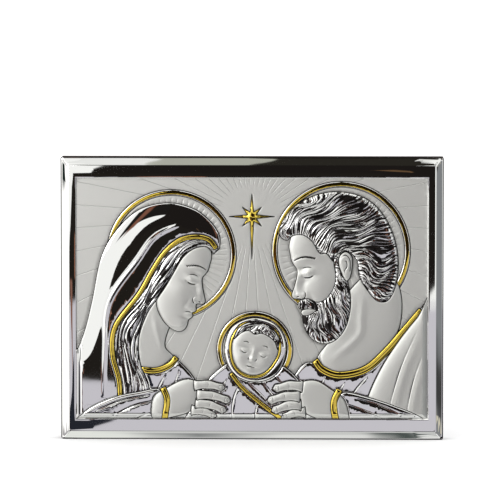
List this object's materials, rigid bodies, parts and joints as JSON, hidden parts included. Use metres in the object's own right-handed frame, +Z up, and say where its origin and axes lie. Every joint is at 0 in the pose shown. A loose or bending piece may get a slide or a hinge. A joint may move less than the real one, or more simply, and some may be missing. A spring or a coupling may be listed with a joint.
{
  "type": "relief wall plaque",
  "caption": "Landscape wall plaque: an embossed silvered sheet with a family relief in a polished border, on a wooden board with a nail slot in its back.",
  "frame": {"origin": "centre of the board's flat back, where it lies against the wall", "axes": "+X along the plaque's long side, +Z up, +Y into the wall, so the picture faces -Y"},
  "size_m": [0.27, 0.0229, 0.2],
  "materials": {
    "silver": "polished border, veil and hair, satin ground and skin, gilt hems",
    "wood": "dark red-brown stain, satin"
  },
  "bodies": {
    "root": {"silver_sheet": "silver", "wooden_board": "wood"}
  },
  "joints": []
}
